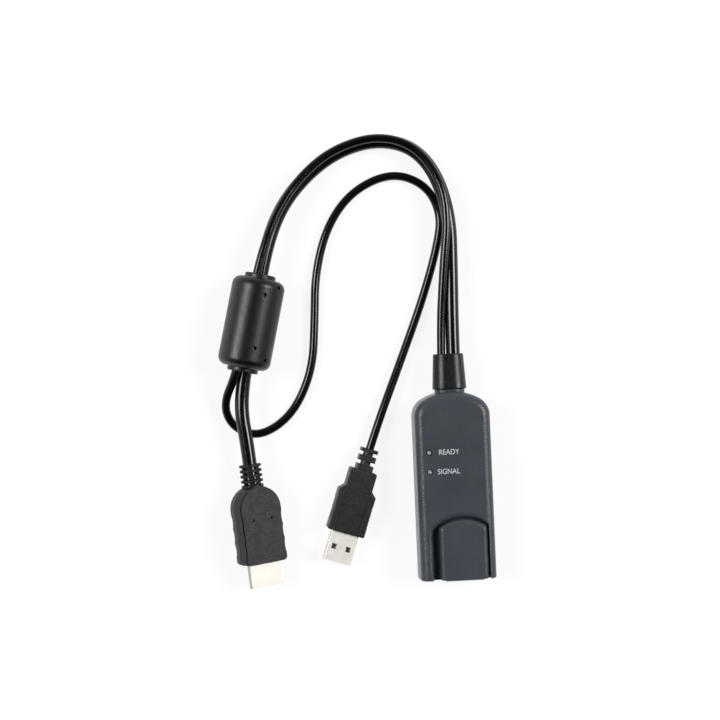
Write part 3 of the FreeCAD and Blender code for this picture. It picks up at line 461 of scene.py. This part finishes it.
legend_ink = printing_ink()
print_word("ready", "power_light_pipe", legend_ink)
print_word("signal", "active_light_pipe", legend_ink)


# ---- Studio --------------------------------------------------------------------------------------
FLOOR_REACH = 30.0                    # metres from the middle to each side
FLOOR_DROP = 0.1 * MM                 # keeps the floor just clear of the part's flat faces
FLOOR_GLOW = 0.8                      # share of the floor that shows as plain white
PAPER_LIGHT = 1.08                    # strength of that white
PAPER_COLOUR = (0.86, 0.86, 0.86, 1.0)
PURE_WHITE = (1.0, 1.0, 1.0, 1.0)
LAMP_ELEVATION = math.radians(45)
LAMP_LEAN = math.radians(13)          # of both lamps towards the boot's end of the table
LAMP_SPREAD = math.radians(25)        # how wide each lamp looks from the table
LAMP_STRENGTHS = (1.60, 1.95)         # left and right
WALL_LIGHT = 0.50                     # of the surroundings, low and half-way up
ZENITH_LIGHT = 0.06                   # of the surroundings, overhead
NEAR_SIDE_SHARE = 0.10                # of that light past the jack's end, against the other sides
DIMMING_HEIGHTS = (0.40, 0.75)        # sines of the heights between which the light fades upwards
NEAR_SIDE_EDGE = (-0.55, -0.10)       # Y of the directions between which that light comes back


def make_floor():
    mesh = bpy.data.meshes.new("floor")
    shape = bmesh.new()
    bmesh.ops.create_grid(shape, x_segments=1, y_segments=1, size=FLOOR_REACH)
    bmesh.ops.translate(shape, verts=shape.verts, vec=(0, 0, -FLOOR_DROP))
    shape.to_mesh(mesh)
    shape.free()
    material, tree, output = new_material("white_sweep")
    path = add(tree, "LightPath")
    seen = add(tree, "Math", {0: path.outputs["Is Camera Ray"], 1: path.outputs["Is Glossy Ray"]},
               operation="MAXIMUM")
    shown = add(tree, "Math", {0: seen.outputs[0], 1: path.outputs["Is Transmission Ray"]},
                operation="MAXIMUM")
    share = add(tree, "Math", {0: shown.outputs[0], 1: FLOOR_GLOW}, operation="MULTIPLY")
    paper = add(tree, "BsdfDiffuse", {"Color": PAPER_COLOUR})
    white = add(tree, "Emission", {"Color": PURE_WHITE, "Strength": PAPER_LIGHT})
    both = add(tree, "MixShader", {0: share.outputs[0], 1: paper.outputs[0], 2: white.outputs[0]})
    tree.links.new(both.outputs[0], output.inputs["Surface"])
    mesh.materials.append(material)
    floor = bpy.data.objects.new("floor", mesh)
    bpy.context.collection.objects.link(floor)


def make_lamps():
    """Two soft boxes, left and right of the table and a little past its far end."""
    for name, side, strength in zip(("left_lamp", "right_lamp"), (-1, 1), LAMP_STRENGTHS):
        data = bpy.data.lights.new(name, "SUN")
        data.energy = strength
        data.angle = LAMP_SPREAD
        lamp = bpy.data.objects.new(name, data)
        level = math.cos(LAMP_ELEVATION)
        aim = Vector((side * level * math.cos(LAMP_LEAN), level * math.sin(LAMP_LEAN),
                      math.sin(LAMP_ELEVATION)))
        lamp.rotation_mode = "QUATERNION"
        lamp.rotation_quaternion = aim.to_track_quat("Z", "Y")
        bpy.context.collection.objects.link(lamp)


def make_surroundings():
    """Soft light from low and half-way up on three sides; dim overhead and past the jack's end."""
    world = bpy.data.worlds.new("studio")
    world.use_nodes = True
    tree = world.node_tree
    tree.nodes.clear()
    place = add(tree, "TexCoord")
    split = add(tree, "SeparateXYZ", {"Vector": place.outputs["Generated"]})
    height = add(tree, "MapRange", {
        "Value": split.outputs["Z"], "From Min": DIMMING_HEIGHTS[0], "From Max": DIMMING_HEIGHTS[1],
        "To Min": WALL_LIGHT, "To Max": ZENITH_LIGHT,
    })
    side = add(tree, "MapRange", {
        "Value": split.outputs["Y"], "From Min": NEAR_SIDE_EDGE[0], "From Max": NEAR_SIDE_EDGE[1],
        "To Min": NEAR_SIDE_SHARE, "To Max": 1.0,
    })
    level = add(tree, "Math", {0: height.outputs["Result"], 1: side.outputs["Result"]},
                operation="MULTIPLY")
    sky = add(tree, "Background", {"Color": PURE_WHITE, "Strength": level.outputs[0]})
    output = add(tree, "OutputWorld")
    tree.links.new(sky.outputs[0], output.inputs["Surface"])
    bpy.context.scene.world = world


make_floor()
make_lamps()
make_surroundings()
bpy.context.scene.view_settings.view_transform = "Standard"
